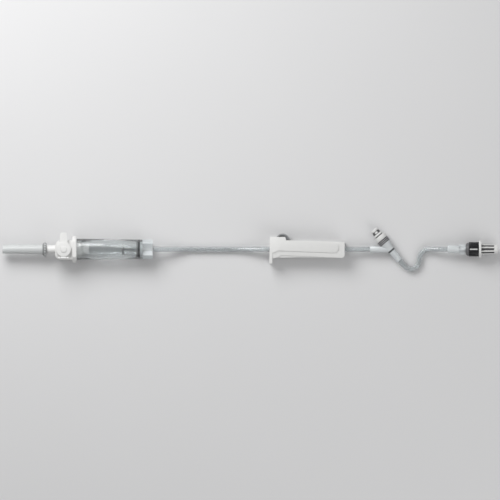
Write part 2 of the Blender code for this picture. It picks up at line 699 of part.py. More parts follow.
def filter_mesh():
    radius = chamber_bore(MESH_X + MESH_THICKNESS) - SEAT_GAP
    return rod("filter_mesh", 0, MESH_THICKNESS, radius, (MESH_X, SET_Y, SPIKE_Z), steps=ROUND)


def filter_frame():
    """Spoked ring that holds the mesh down, with a stem and a splash disc on its hub."""
    outer = chamber_bore(FRAME_X + FRAME_THICKNESS) - SEAT_GAP
    inner = outer - FRAME_RIM_WIDTH
    ring = [(0, inner), (0, outer), (FRAME_THICKNESS, outer), (FRAME_THICKNESS, inner)]
    at = (FRAME_X, SET_Y, SPIKE_Z)
    frame = turned("filter_frame", ring, at, ring=True)
    reach = inner + FRAME_RIM_WIDTH / 2
    low = (0.1 * FRAME_THICKNESS, -reach, -FRAME_ARM_WIDTH / 2)
    high = (0.9 * FRAME_THICKNESS, reach, FRAME_ARM_WIDTH / 2)
    arms = [
        box(f"filter_arm_{number}", low, high, at, (tau * number / FRAME_ARMS, 0, 0))
        for number in range(FRAME_ARMS // 2)
    ]
    disc_end = -STEM_LENGTH + STEM_DISC_THICKNESS
    stem = turned("filter_stem", [
        (-STEM_LENGTH, 0),
        (-STEM_LENGTH, STEM_DISC_RADIUS),
        (disc_end, STEM_DISC_RADIUS),
        (disc_end, STEM_BOSS_RADIUS),
        (disc_end + STEM_BOSS_LENGTH, STEM_RADIUS),
        (-FRAME_THICKNESS, STEM_RADIUS),
        (0, FRAME_HUB_RADIUS),
        (FRAME_THICKNESS, FRAME_HUB_RADIUS),
        (FRAME_THICKNESS, 0),
    ], at)
    weld(frame, stem, *arms)
    return frame


def clamp_outline():
    """Side view: high head over the wheel, sloping walls, rounded tail, shallow keel and the leg."""
    return rounded([
        (CLAMP_LEAN, CLAMP_HEAD_HEIGHT, CLAMP_EDGE),
        (0, -CLAMP_LEG_DEPTH, CLAMP_EDGE),
        (CLAMP_LEFT_WALL, -CLAMP_LEG_DEPTH, CLAMP_EDGE),
        (CLAMP_LEFT_WALL, -CLAMP_HEEL_DEPTH, 0),
        (CLAMP_HEEL_END, -CLAMP_KEEL_START, 0),
        (CLAMP_BULGE_AT, -CLAMP_KEEL_BULGE, 0),
        (CLAMP_WAIST_AT, -CLAMP_KEEL_START, 0),
        (CLAMP_LENGTH, -CLAMP_KEEL_DEPTH, CLAMP_CORNER),
        (CLAMP_LENGTH, CLAMP_WALL_END, CLAMP_EDGE),
        (CLAMP_HEAD_LENGTH + CLAMP_STEP, CLAMP_WALL_START, 0),
        (CLAMP_HEAD_LENGTH, CLAMP_HEAD_HEIGHT, CLAMP_EDGE),
    ])


def tray_outline():
    """Everything below and right of the side panels, which stands back a step on both sides."""
    far = 2 * CLAMP_LEG_DEPTH
    corner = arc((PANEL_RIGHT - PANEL_CORNER, CLAMP_WALL_END - PANEL_CORNER), PANEL_CORNER, 90, 0, 5)
    return rounded([
        (CLAMP_LEFT_WALL, -PANEL_LEFT_DROP, 0),
        (CLAMP_LEFT_WALL, -far, 0),
        (CLAMP_LENGTH + far, -far, 0),
        (CLAMP_LENGTH + far, far, 0),
        (PANEL_RIGHT - PANEL_CORNER, far, 0),
        *[(x, y, 0) for x, y in corner],
        (PANEL_RIGHT, -PANEL_RIGHT_DROP, PANEL_CORNER),
        (PANEL_RISE_END, -PANEL_RISE_DROP, 0),
        (PANEL_KNEE_AT, -PANEL_KNEE_DROP, 0),
    ])


def keel_outline():
    """The wedge along the bottom edge that stands back another step."""
    far = 2 * CLAMP_LEG_DEPTH
    return [
        (KEEL_TOP_AT, -KEEL_TOP_DROP),
        (KEEL_FOOT_AT, -KEEL_FOOT_DROP),
        (KEEL_FOOT_AT, -far),
        (CLAMP_LENGTH + far, -far),
        (CLAMP_LENGTH - CLAMP_CORNER, -CLAMP_KEEL_DEPTH),
    ]


def track_outline(half_height):
    """A slot with round ends around the line that the wheel's trunnions follow."""
    end_u = WHEEL_START + TRACK_TRAVEL * cos(TRACK_ANGLE)
    end_v = WHEEL_HEIGHT - TRACK_TRAVEL * sin(TRACK_ANGLE)
    lean = -TRACK_ANGLE * 180 / pi
    left = arc((WHEEL_START, WHEEL_HEIGHT), half_height, lean + 90, lean + 270, 8)
    right = arc((end_u, end_v), half_height, lean - 90, lean + 90, 8)
    return left + right


def clamp_body():
    """One moulding: U channel for the tube, inclined tracks, end walls with tube ports, cored underside."""
    at = (CLAMP_X, SET_Y, CLAMP_Z)
    half = CLAMP_WIDTH / 2
    body = prism("clamp_body", clamp_outline(), -half, half, at)
    tools = []
    for side in (-1, 1):
        name = "near" if side > 0 else "far"
        tray_low, tray_high = sorted((side * (half - PANEL_STEP), side * (half + PASS)))
        tools.append(prism(f"tray_{name}", tray_outline(), tray_low, tray_high, at))
        keel_half = half - PANEL_STEP - KEEL_STEP
        keel_low, keel_high = sorted((side * keel_half, side * (half + 2 * PASS)))
        tools.append(prism(f"keel_{name}", keel_outline(), keel_low, keel_high, at))
    channel_low = (CLAMP_LEFT_WALL, -CHANNEL_FLOOR, -CHANNEL_WIDTH / 2)
    channel_high = (CLAMP_LENGTH - CLAMP_RIGHT_WALL, 2 * CLAMP_HEAD_HEIGHT, CHANNEL_WIDTH / 2)
    tools.append(box("channel", channel_low, channel_high, at))
    track_half = CHANNEL_WIDTH / 2 + TRACK_DEPTH
    tools.append(prism("tracks", track_outline(TRUNNION_RADIUS + SEAT_GAP), -track_half, track_half, at))
    ports = rod("tube_ports", -PASS, CLAMP_LENGTH + PASS, TUBE_RADIUS + PORT_GAP, at, steps=ROUND)
    tools.append(ports)
    pitch = (CORE_RIGHT - CORE_LEFT + CORE_RIB) / CORE_POCKETS
    for number in range(CORE_POCKETS):
        left = CORE_LEFT + number * pitch
        low = (left, -2 * CLAMP_KEEL_DEPTH, -CORE_WIDTH / 2)
        high = (left + pitch - CORE_RIB, -CLAMP_KEEL_DEPTH + CORE_DEPTH, CORE_WIDTH / 2)
        tools.append(box(f"core_{number}", low, high, at))
    cut(body, *tools)
    return body


def clamp_roller():
    """Toothed wheel with dished sides and its two trunnions, one moulding."""
    half = CHANNEL_WIDTH / 2 - RUNNING_GAP
    web = half - WHEEL_WEB_RECESS
    reach = CHANNEL_WIDTH / 2 + TRACK_DEPTH - SEAT_GAP
    rim_inner = WHEEL_RADIUS - WHEEL_RIM
    side = [
        (reach, 0),
        (reach, TRUNNION_RADIUS),
        (half, TRUNNION_RADIUS),
        (half, WHEEL_BOSS_RADIUS),
        (web, WHEEL_BOSS_RADIUS),
        (web, rim_inner),
        (half, rim_inner),
        (half, WHEEL_RADIUS),
    ]
    profile = [(-along, radius) for along, radius in side] + side[::-1]
    centre = (CLAMP_X + WHEEL_START, SET_Y + WHEEL_HEIGHT, CLAMP_Z)
    teeth = (-reach, reach, rim_inner + WHEEL_RIM / 2, WHEEL_TOOTH_DEPTH)
    return turned("clamp_roller", profile, centre, UPRIGHT, 2 * WHEEL_TEETH, teeth=teeth)


def beside_barrel(station, radius):
    """Where a point at this station and radius lies, on the leg's side of the barrel."""
    return (
        station * cos(PORT_ANGLE) - radius * sin(PORT_ANGLE),
        -station * sin(PORT_ANGLE) - radius * cos(PORT_ANGLE),
    )


def barrel_bore():
    """Seat of the valve, room for its plug's travel, the way through and the outlet's socket."""
    plug_room = PLUG_SKIRT_RADIUS + RUNNING_GAP
    plug_room_top = PLUG_SHOULDER + 2 * RUNNING_GAP + PLUG_FLANGE_LENGTH + PLUG_TRAVEL
    return turned("barrel_bore", [
        (HEAD_END - PASS, 0),
        (HEAD_END - PASS, VALVE_CHAMBER_RADIUS),
        (plug_room_top, VALVE_CHAMBER_RADIUS),
        (plug_room_top, plug_room),
        (VALVE_FLOOR, plug_room),
        (VALVE_FLOOR, LUMEN_RADIUS),
        (BARREL_END - SOCKET_DEPTH, LUMEN_RADIUS),
        (BARREL_END - SOCKET_DEPTH, SOCKET_RADIUS),
        (BARREL_END + PASS, SOCKET_RADIUS),
        (BARREL_END + PASS, 0),
    ], (SITE_X, SET_Y, SITE_Z), DOWN_BARREL)


def y_body():
    """Inlet leg, valve barrel with its bell, and outlet sleeve, moulded in one."""
    at = (SITE_X, SET_Y, SITE_Z)
    sleeve = SOCKET_RADIUS + SOCKET_WALL
    spigot = VALVE_CHAMBER_RADIUS + SPIGOT_WALL
    spigot_top = HEAD_END + SEAT_GAP
    bell_length = BELL_END - BARREL_SHOULDER
    bell_drop = BARREL_SHOULDER_RADIUS - sleeve
    bell = [
        (BARREL_SHOULDER + bell_length * share, sleeve + bell_drop * (1 - share) ** 1.3)
        for share in (0, 0.3, 0.6, 1)
    ]
    body = turned("y_body", [
        (spigot_top, 0),
        (spigot_top, BARREL_SHOULDER_RADIUS),
        *bell,
        (BELL_END, sleeve + JUNCTION_HEIGHT),
        (BELL_END + JUNCTION_LENGTH, sleeve + JUNCTION_HEIGHT),
        (BELL_END + JUNCTION_LENGTH, sleeve),
        (BARREL_END, sleeve),
        (BARREL_END, 0),
    ], at, DOWN_BARREL)
    outside = HEAD_SKIRT_RADIUS + SEAT_GAP
    gusset_outline = [
        (-GUSSET_START, 0),
        (0, 0),
        beside_barrel(GUSSET_TOP, spigot / 2),
        beside_barrel(GUSSET_TOP, outside + GUSSET_BLUNT),
    ]
    gusset = prism("gusset", gusset_outline, -GUSSET_THICKNESS / 2, GUSSET_THICKNESS / 2, at)
    leg = rod("inlet_leg", -LEG_LENGTH, 0, LEG_RADIUS, at, steps=ROUND)
    weld(body, leg, gusset)
    leg_bore = turned("leg_bore", [
        (-LEG_LENGTH - PASS, 0),
        (-LEG_LENGTH - PASS, SOCKET_RADIUS),
        (-LEG_LENGTH + SOCKET_DEPTH, SOCKET_RADIUS),
        (-LEG_LENGTH + SOCKET_DEPTH, LEG_WAY_RADIUS),
        (0, LEG_WAY_RADIUS),
        (0, 0),
    ], at)
    collar_room = turned("collar_room", [
        (HEAD_SKIRT, spigot),
        (HEAD_SKIRT, outside),
        (BARREL_SHOULDER, outside),
        (BARREL_SHOULDER, spigot),
    ], at, DOWN_BARREL, ring=True)
    cut(body, barrel_bore(), leg_bore, collar_room)
    return body


def valve_head():
    """Female luer port with its two locking lugs and the skirt that joins the barrel."""
    at = (SITE_X, SET_Y, SITE_Z)
    port = PLUG_RADIUS + RUNNING_GAP
    lip_end = VALVE_TOP + LIP_LENGTH
    head = turned("valve_head", [
        (VALVE_TOP, port),
        (VALVE_TOP, LIP_RADIUS - LIP_EDGE),
        (VALVE_TOP + LIP_EDGE, LIP_RADIUS),
        (lip_end, LIP_RADIUS),
        (lip_end, NECK_RADIUS),
        (HEAD_RING, NECK_END_RADIUS),
        (HEAD_RING, HEAD_RING_TOP_RADIUS),
        (HEAD_GROOVE, HEAD_RING_RADIUS),
        (HEAD_GROOVE, HEAD_GROOVE_RADIUS),
        (HEAD_SKIRT, HEAD_GROOVE_RADIUS),
        (HEAD_SKIRT, HEAD_SKIRT_RADIUS),
        (HEAD_END, HEAD_SKIRT_RADIUS),
        (HEAD_END, VALVE_CHAMBER_RADIUS),
        (PLUG_SHOULDER, VALVE_CHAMBER_RADIUS),
        (PLUG_SHOULDER, port),
    ], at, DOWN_BARREL, ring=True)
    lug_start = lip_end + (NECK_LENGTH - LOCK_LUG_LENGTH) / 2
    lugs = []
    for side in (-1, 1):
        near, far = sorted((side * (port + LIP_EDGE / 2), side * LOCK_LUG_RADIUS))
        low = (lug_start, -LOCK_LUG_WIDTH / 2, near)
        high = (lug_start + LOCK_LUG_LENGTH, LOCK_LUG_WIDTH / 2, far)
        lugs.append(box("lock_lug_" + ("upper" if side > 0 else "lower"), low, high, at, DOWN_BARREL))
    weld(head, *lugs)
    return head


def valve_collar():
    """Banded clamp ring over the joint of head and barrel."""
    inner = VALVE_CHAMBER_RADIUS + SPIGOT_WALL + SEAT_GAP
    start = HEAD_END + SEAT_GAP
    end = BARREL_SHOULDER - SEAT_GAP
    outer = HEAD_SKIRT_RADIUS - BAND_DEPTH / 2
    pitch = (end - start) / (2 * BAND_COUNT + 1)
    steps = [(start, outer)]
    for number in range(BAND_COUNT):
        groove = start + (2 * number + 1) * pitch
        steps += [(groove, outer), (groove, outer - BAND_DEPTH)]
        steps += [(groove + pitch, outer - BAND_DEPTH), (groove + pitch, outer)]
    steps.append((end, outer))
    profile = [(start, inner), *steps, (end, inner)]
    return turned("valve_collar", profile, (SITE_X, SET_Y, SITE_Z), DOWN_BARREL, ring=True)


def valve_plug():
    """Swabbable silicone plug: stem in the port, flange under its shoulder, skirt below."""
    flange = PLUG_SHOULDER + RUNNING_GAP
    profile = [
        (VALVE_TOP - PLUG_PROUD, 0),
        (VALVE_TOP - PLUG_PROUD, PLUG_RADIUS - PLUG_EDGE),
        (VALVE_TOP - PLUG_PROUD + PLUG_EDGE, PLUG_RADIUS),
        (flange, PLUG_RADIUS),
        (flange, PLUG_FLANGE_RADIUS),
        (flange + PLUG_FLANGE_LENGTH, PLUG_FLANGE_RADIUS),
        (flange + PLUG_FLANGE_LENGTH, PLUG_SKIRT_RADIUS),
        (PLUG_BOTTOM, PLUG_SKIRT_RADIUS),
        (PLUG_BOTTOM, 0),
    ]
    return turned("valve_plug", profile, (SITE_X, SET_Y, SITE_Z), DOWN_BARREL)


def luer_connector():
    """Tube socket, ribbed neck, journal and keeper for the collar, and the male luer cone."""
    at = (0, SET_Y, LUER_Z)
    socket_floor = CONNECTOR_X + SOCKET_DEPTH
    keeper_end = KEEPER_X + KEEPER_LENGTH
    connector = turned("luer_connector", [
        (CONNECTOR_X, SOCKET_RADIUS),
        (CONNECTOR_X, CONNECTOR_RADIUS),
        (NECK_X, CONNECTOR_RADIUS),
        (NECK_X, CONNECTOR_NECK_RADIUS),
        (COLLAR_X - SEAT_GAP, CONNECTOR_NECK_RADIUS),
        (COLLAR_X - SEAT_GAP, JOURNAL_RADIUS),
        (KEEPER_X, JOURNAL_RADIUS),
        (KEEPER_X, KEEPER_RADIUS),
        (keeper_end, KEEPER_RADIUS),
        (keeper_end, CONE_ROOT_RADIUS),
        (CONE_TIP_X, CONE_TIP_RADIUS),
        (CONE_TIP_X, CONNECTOR_BORE),
        (socket_floor, CONNECTOR_BORE),
        (socket_floor, SOCKET_RADIUS),
    ], at, ring=True)
    low = (NECK_X - SOCKET_WALL / 2, CONNECTOR_BORE + SOCKET_WALL, -RIB_THICKNESS / 2)
    high = (COLLAR_X - SEAT_GAP, RIB_RADIUS, RIB_THICKNESS / 2)
    weld(connector, *[
        box(f"rib_{number}", low, high, at, (tau * number / RIB_COUNT, 0, 0))
        for number in range(RIB_COUNT)
    ])
    return connector


def luer_collar():
    """Threaded lock ring, free to turn on the connector's journal, with a grip of fine teeth."""
    hole = JOURNAL_RADIUS + SEAT_GAP
    shoulder_end = COLLAR_X + COLLAR_SHOULDER_LENGTH
    corner_centre = (COLLAR_X + COLLAR_SHOULDER_CORNER, COLLAR_SHOULDER_RADIUS - COLLAR_SHOULDER_CORNER)
    profile = [
        (COLLAR_X, hole),
        *arc(corner_centre, COLLAR_SHOULDER_CORNER, 180, 90),
        (shoulder_end, COLLAR_SHOULDER_RADIUS),
        (shoulder_end, COLLAR_RADIUS),
        (COLLAR_END_X, COLLAR_RADIUS),
        (COLLAR_END_X, COLLAR_BORE),
        (COLLAR_X + COLLAR_END_WALL, COLLAR_BORE),
        (COLLAR_X + COLLAR_END_WALL, hole),
    ]
    least = COLLAR_RADIUS - COLLAR_TOOTH_DEPTH / 2
    teeth = (shoulder_end - PASS, COLLAR_END_X + PASS, least, COLLAR_TOOTH_DEPTH)
    at = (0, SET_Y, LUER_Z)
    return turned("luer_collar", profile, at, steps=2 * COLLAR_TEETH, ring=True, teeth=teeth)


def cap_fin_ring(bm, x, radius):
    """One section through the cap's grip: a core circle with a square fin every eighth of a turn."""
    points = []
    tip_half = asin(CAP_FIN_THICKNESS / 2 / radius)
    foot_half = asin(CAP_FIN_THICKNESS / 2 / CAP_CORE_RADIUS)
    for number in range(CAP_FINS):
        middle = tau * (number + 0.5) / CAP_FINS
        corners = [
            (CAP_CORE_RADIUS, middle - foot_half),
            (radius, middle - tip_half),
            (radius, middle + tip_half),
            (CAP_CORE_RADIUS, middle + foot_half),
        ]
        points += [bm.verts.new((x, r * sin(a), r * cos(a))) for r, a in corners]
    return points


def cap_grip():
    bm = bmesh.new()
    start = CAP_FLANGE_X + CAP_FLANGE_THICKNESS
    first = cap_fin_ring(bm, start - SEAT_GAP, CAP_FIN_ROOT_RADIUS)
    last = cap_fin_ring(bm, start + CAP_FIN_LENGTH + SEAT_GAP, CAP_FIN_END_RADIUS)
    count = len(first)
    for i in range(count):
        j = (i + 1) % count
        bm.faces.new((first[i], first[j], last[j], last[i]))
    bm.faces.new(first)
    bm.faces.new(last)
    return finish_object("cap_grip", bm, (0, SET_Y, LUER_Z))


def luer_cap():
    """Vented cap: hollow plug inside the collar, wide flange, eight-fin grip and a round end."""
    at = (0, SET_Y, LUER_Z)
    bore = CONE_ROOT_RADIUS + RUNNING_GAP
    plug = bore + CAP_PLUG_WALL
    plug_start = CAP_FLANGE_X - CAP_PLUG_LENGTH
    flange_end = CAP_FLANGE_X + CAP_FLANGE_THICKNESS
    fin_end = flange_end + CAP_FIN_LENGTH
    cap_end = fin_end + CAP_END_LENGTH
    bore_end = CONE_TIP_X + CAP_BORE_ROOM
    seat = cap_end - CAP_VENT_DEPTH
    end_corner = arc((cap_end - CAP_END_CORNER, CAP_END_RADIUS - CAP_END_CORNER), CAP_END_CORNER, 90, 0)
    cap = turned("luer_cap", [
        (plug_start, 0),
        (plug_start, plug),
        (CAP_FLANGE_X, plug),
        (CAP_FLANGE_X, CAP_FLANGE_RADIUS),
        (flange_end, CAP_FLANGE_RADIUS),
        (flange_end, CAP_CORE_RADIUS - CAP_CORE_INSET),
        (fin_end, CAP_CORE_RADIUS - CAP_CORE_INSET),
        (fin_end, CAP_END_RADIUS),
        *end_corner,
        (cap_end, 0),
    ], at)
    weld(cap, cap_grip())
    cut(cap, turned("cap_bore", [
        (plug_start - PASS, 0),
        (plug_start - PASS, bore),
        (bore_end, bore),
        (bore_end, CAP_VENT_RADIUS),
        (seat, CAP_VENT_RADIUS),
        (seat, CAP_VENT_MOUTH),
        (cap_end + PASS, CAP_VENT_MOUTH),
        (cap_end + PASS, 0),
    ], at))
    return cap


def cap_membrane():
    flange_end = CAP_FLANGE_X + CAP_FLANGE_THICKNESS
    seat = flange_end + CAP_FIN_LENGTH + CAP_END_LENGTH - CAP_VENT_DEPTH
    at = (seat + SEAT_GAP, SET_Y, LUER_Z)
    return rod("cap_membrane", 0, MEMBRANE_THICKNESS, CAP_VENT_MOUTH - SEAT_GAP, at, steps=ROUND)


def smooth_route(points, spacing):
    """Points every so often along a smooth curve through the route's own points."""
    route = [Vector(point) for point in points]
    ends = [2 * route[0] - route[1], *route, 2 * route[-1] - route[-2]]
    fine = []
    for p0, p1, p2, p3 in zip(ends, ends[1:], ends[2:], ends[3:]):
        for step in range(40):
            t = step / 40
            fine.append(0.5 * (
                2 * p1 + (p2 - p0) * t
                + (2 * p0 - 5 * p1 + 4 * p2 - p3) * t**2
                + (3 * p1 - p0 - 3 * p2 + p3) * t**3
            ))
    fine.append(route[-1])
    walked = np.cumsum([0.0] + [(b - a).length for a, b in zip(fine, fine[1:])])
    wanted = np.linspace(0, walked[-1], ceil(walked[-1] / spacing) + 1)
    lines = [np.interp(wanted, walked, [point[axis] for point in fine]) for axis in range(3)]
    return list(zip(*lines))


def tube(name, points, spacing):
    line = bpy.data.curves.new(name, "CURVE")
    line.dimensions = "3D"
    line.bevel_depth = TUBE_RADIUS
    line.bevel_resolution = 3
    line.use_fill_caps = True
    route = smooth_route(points, spacing)
    spline = line.splines.new("POLY")
    spline.points.add(len(route) - 1)
    for point, place in zip(spline.points, route):
        point.co = (*place, 1)
    obj = bpy.data.objects.new(name, line)
    bpy.context.scene.collection.objects.link(obj)
    return obj


def main_tube():
    """From the chamber's socket down to the table, up through the clamp, and into the side port's leg."""
    start = BASE_END_X - SOCKET_DEPTH + SEAT_GAP
    end = LEG_X + SOCKET_DEPTH - SEAT_GAP
    clamp_end = CLAMP_X + CLAMP_LENGTH
    low = SET_Y - CLAMP_TUBE_DROP
    return tube("main_tube", [
        (start, SET_Y, SPIKE_Z),
        (BASE_END_X - 3 * MM, SET_Y, SPIKE_Z),
        (BASE_END_X, SET_Y, SPIKE_Z),
        (BASE_END_X + 6 * MM, SET_Y, SPIKE_Z - 0.4 * MM),
        (BASE_END_X + 16 * MM, SET_Y, SPIKE_Z - 3.4 * MM),
        (BASE_END_X + 27 * MM, SET_Y, TUBE_BED + 0.5 * MM),
        (BASE_END_X + 37 * MM, SET_Y, TUBE_BED),
        (CLAMP_X - 42 * MM, SET_Y, TUBE_BED),
        (CLAMP_X - 30 * MM, SET_Y, TUBE_BED),
        (CLAMP_X - 21 * MM, SET_Y, TUBE_BED + 0.7 * MM),
        (CLAMP_X - 12 * MM, SET_Y, CLAMP_Z - 1.3 * MM),
        (CLAMP_X - 5 * MM, SET_Y, CLAMP_Z - 0.15 * MM),
        (CLAMP_X, SET_Y, CLAMP_Z),
        (CLAMP_X + CLAMP_LEFT_WALL, SET_Y - 0.08 * MM, CLAMP_Z),
        (CLAMP_X + WHEEL_START - 2 * MM, low + 0.1 * MM, CLAMP_Z),
        (CLAMP_X + WHEEL_START + 4 * MM, low, CLAMP_Z),
        (clamp_end - 20 * MM, low, CLAMP_Z),
        (clamp_end - 14 * MM, low + 0.1 * MM, CLAMP_Z),
        (clamp_end - CLAMP_RIGHT_WALL, SET_Y - 0.08 * MM, CLAMP_Z),
        (clamp_end, SET_Y, CLAMP_Z - 0.1 * MM),
        (clamp_end + 6 * MM, SET_Y, CLAMP_Z - 0.5 * MM),
        (LEG_X - 6 * MM, SET_Y, SITE_Z + 0.3 * MM),
        (LEG_X, SET_Y, SITE_Z),
        (LEG_X + 2 * MM, SET_Y, SITE_Z),
        (end, SET_Y, SITE_Z),
    ], MAIN_TUBE_RING_PITCH)


def lower_tube():
    """From the side port's sleeve round a loose S on the table and up into the luer connector."""
    down = Vector((cos(PORT_ANGLE), -sin(PORT_ANGLE), 0))
    mouth = Vector((SITE_X, SET_Y, SITE_Z)) + down * BARREL_END
    start = mouth - down * (SOCKET_DEPTH - SEAT_GAP)
    end = CONNECTOR_X + SOCKET_DEPTH - SEAT_GAP
    return tube("lower_tube", [
        start,
        mouth - down * 2 * MM,
        mouth,
        mouth + down * 2 * MM - Vector((0, 0, 0.1 * MM)),
        (123.4 * MM, -16.15 * MM, 4.1 * MM),
        (126.0 * MM, -18.1 * MM, 3.1 * MM),
        (128.9 * MM, -18.7 * MM, 2.4 * MM),
        (131.8 * MM, -17.8 * MM, TUBE_BED),
        (134.0 * MM, -15.6 * MM, TUBE_BED),
        (135.1 * MM, -12.6 * MM, TUBE_BED),
        (135.5 * MM, -9.3 * MM, TUBE_BED),
        (136.8 * MM, -6.2 * MM, 2.3 * MM),
        (139.2 * MM, -3.9 * MM, 2.7 * MM),
        (142.4 * MM, SET_Y, 3.4 * MM),
        (147.5 * MM, SET_Y, 4.9 * MM),
        (CONNECTOR_X - 5 * MM, SET_Y, LUER_Z - 0.4 * MM),
        (CONNECTOR_X, SET_Y, LUER_Z),
        (CONNECTOR_X + 2 * MM, SET_Y, LUER_Z),
        (end, SET_Y, LUER_Z),
    ], LOWER_TUBE_RING_PITCH)


def dress(pieces, look):
    for piece in pieces:
        piece.data.materials.append(look)


def build():
    clear_scene()
    clear = plastic("clear_plastic", (0.90, 0.93, 0.95), 0.15, 0.35)
    soft_clear = plastic("clear_tubing", (0.88, 0.91, 0.93), 0.25, 0.6)
    white = plastic("white_plastic", (0.90, 0.90, 0.89), 0.4)
    natural = plastic("natural_cover", (0.86, 0.87, 0.86), 0.35, 0.85)
    grey = plastic("grey_plastic", (0.32, 0.33, 0.34), 0.45)
    black = plastic("black_plastic", (0.03, 0.03, 0.035), 0.4)
    mesh_grey = plastic("filter_weave", (0.22, 0.23, 0.24), 0.8)
    membrane = plastic("vent_membrane", (0.93, 0.93, 0.92), 0.9)
    silicone = plastic("silicone", (0.82, 0.84, 0.86), 0.5)
    dress([spike_cover()], natural)
    dress([spike_housing(), vent_flap(), clamp_body(), valve_head(), luer_cap()], white)
    dress([drip_chamber(), chamber_base(), y_body(), luer_connector()], clear)
    dress([main_tube(), lower_tube()], soft_clear)
    dress([vent_filter(), cap_membrane()], membrane)
    dress([filter_mesh()], mesh_grey)
    dress([filter_frame(), clamp_roller(), valve_collar()], grey)
    dress([luer_collar()], black)
    dress([valve_plug()], silicone)


build()
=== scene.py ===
"""Looks of the infusion set: clear tubing, clear and white mouldings and a black lock collar, seen from above.

Metres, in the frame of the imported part. Places come from the boxes of the nodes, and the tubes' routes are part.py's.
"""

import json
from math import ceil, cos, radians, sin, sqrt, tau

import bmesh
import bpy
import numpy as np
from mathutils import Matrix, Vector


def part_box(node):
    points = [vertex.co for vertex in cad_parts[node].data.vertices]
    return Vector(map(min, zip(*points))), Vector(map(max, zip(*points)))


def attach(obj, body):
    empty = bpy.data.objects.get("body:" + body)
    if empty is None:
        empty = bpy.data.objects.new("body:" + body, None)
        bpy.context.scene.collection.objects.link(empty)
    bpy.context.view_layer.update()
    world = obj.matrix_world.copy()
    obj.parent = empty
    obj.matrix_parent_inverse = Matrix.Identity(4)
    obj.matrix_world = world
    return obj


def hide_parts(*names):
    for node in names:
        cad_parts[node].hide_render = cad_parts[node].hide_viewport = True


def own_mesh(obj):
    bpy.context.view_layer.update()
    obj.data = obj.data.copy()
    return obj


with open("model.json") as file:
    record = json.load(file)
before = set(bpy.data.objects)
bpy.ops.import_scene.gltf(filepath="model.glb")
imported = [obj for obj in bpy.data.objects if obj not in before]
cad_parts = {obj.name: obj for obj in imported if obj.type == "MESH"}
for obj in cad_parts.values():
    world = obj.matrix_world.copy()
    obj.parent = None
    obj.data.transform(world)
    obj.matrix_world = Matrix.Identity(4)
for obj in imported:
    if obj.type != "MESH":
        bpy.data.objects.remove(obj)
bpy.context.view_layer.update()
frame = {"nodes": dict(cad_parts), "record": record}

MM = 0.001

# The drawing: 500 pixels across, 0.8 mm each
PHOTO_PIXELS = 500
PIXEL = 0.8 * MM
PHOTO_MIDDLE_X = 250.2
PHOTO_MIDDLE_Y = 245.65
CAMERA_HEIGHT = 0.6

# Studio
KEY_LIGHT = dict(place=(-0.38, 0.56, 0.55), size=(0.6, 0.45), power=6.3)
FILL_LIGHT = dict(place=(0.5, -0.5, 0.5), size=(0.6, 0.6), power=1.6)
HORIZON_STRENGTH = 0.12
ZENITH_STRENGTH = 0.5
FLOOR_HALF_WIDTH = 2.0

# Tube
TUBE_DIAMETER = 4.2 * MM
TUBE_RADIUS = TUBE_DIAMETER / 2
LUMEN_RADIUS = 1.5 * MM
TUBE_SIDES = 32
TUBE_BED = TUBE_RADIUS + 0.05 * MM
RING_PITCH = 1.1 * MM
CURVE_STEPS = 40
SOCKET_DEPTH = 6.0 * MM
SEAT_GAP = 0.22 * MM
HAIR_GAP = 0.01 * MM

# Tube under the clamp's wheel: where its lengths meet, in wheel radii from the wheel's middle
PINCH_STEPS = (-0.98, -0.75, -0.53, 0.53, 0.75, 1.03)

# Luer thread of two starts, as standard luer locks have
THREAD_REACH = 6.0 * MM
THREAD_LEAD = 5.0 * MM
THREAD_STARTS = 2
THREAD_STEPS = 40
THREAD_RAMP = 3

# Wires on both faces of the fluid filter
WIRE_RADIUS = 0.09 * MM
WIRE_PITCH = 0.7 * MM
WIRE_WAVE = 0.06 * MM
WIRE_SIDES = 5

# Places of the nodes
cover_low, cover_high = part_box("spike_cover")
chamber_low, chamber_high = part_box("drip_chamber")
clamp_low, clamp_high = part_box("clamp_body")
port_low, port_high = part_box("y_body")
connector_low, connector_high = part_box("luer_connector")
collar_low, collar_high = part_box("luer_collar")
wheel_low, wheel_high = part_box("clamp_roller")
slide = next(joint for joint in frame["record"]["behaviour"]["joints"] if joint["name"] == "roller_slide")
wheel_end = (wheel_low + wheel_high) / 2 + Vector(slide["axis"]) * slide["range_m"][1]
WHEEL_RADIUS = (wheel_high.x - wheel_low.x) / 2
SET_Y = (chamber_low.y + chamber_high.y) / 2
SPIKE_Z = (chamber_low.z + chamber_high.z) / 2
CLAMP_Z = (clamp_low.z + clamp_high.z) / 2
SITE_Z = (port_low.z + port_high.z) / 2
LUER_Z = (connector_low.z + connector_high.z) / 2
BASE_END_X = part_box("chamber_base")[1].x
CLAMP_X = clamp_low.x
CLAMP_END_X = clamp_high.x
LEG_X = port_low.x
CONNECTOR_X = connector_low.x
CAP_END_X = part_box("luer_cap")[1].x
LEG_LENGTH = 16.3 * MM
SITE_X = LEG_X + LEG_LENGTH
PORT_ANGLE = radians(49.7)
BARREL_END = 11.6 * MM

# Where the tints meet: the cover's bead, the valve, its collar and bell, the lock collar and the cap. The bead's
# grooves, the valve's neck, the ring after the bell and the cap's grooves are painted shade, and the lock collar's dash
# is a painted highlight
MASK_EDGE = 0.08 * MM
BEAD_LENGTH = 3.2 * MM
BEAD_GROOVE_RADIUS = (cover_high.y - cover_low.y) / 2 - 0.25 * MM
VALVE_LIP_END = -18.65 * MM
VALVE_NECK_RADIUS = 3.65 * MM
BAND_RADIUS = 4.7 * MM
BELL_END = 0.7 * MM
# Length of the ring after the bell that is tinted dark as painted shade
JUNCTION_SHADE_LENGTH = 1.3 * MM
COLLAR_SHOULDER = 2.6 * MM
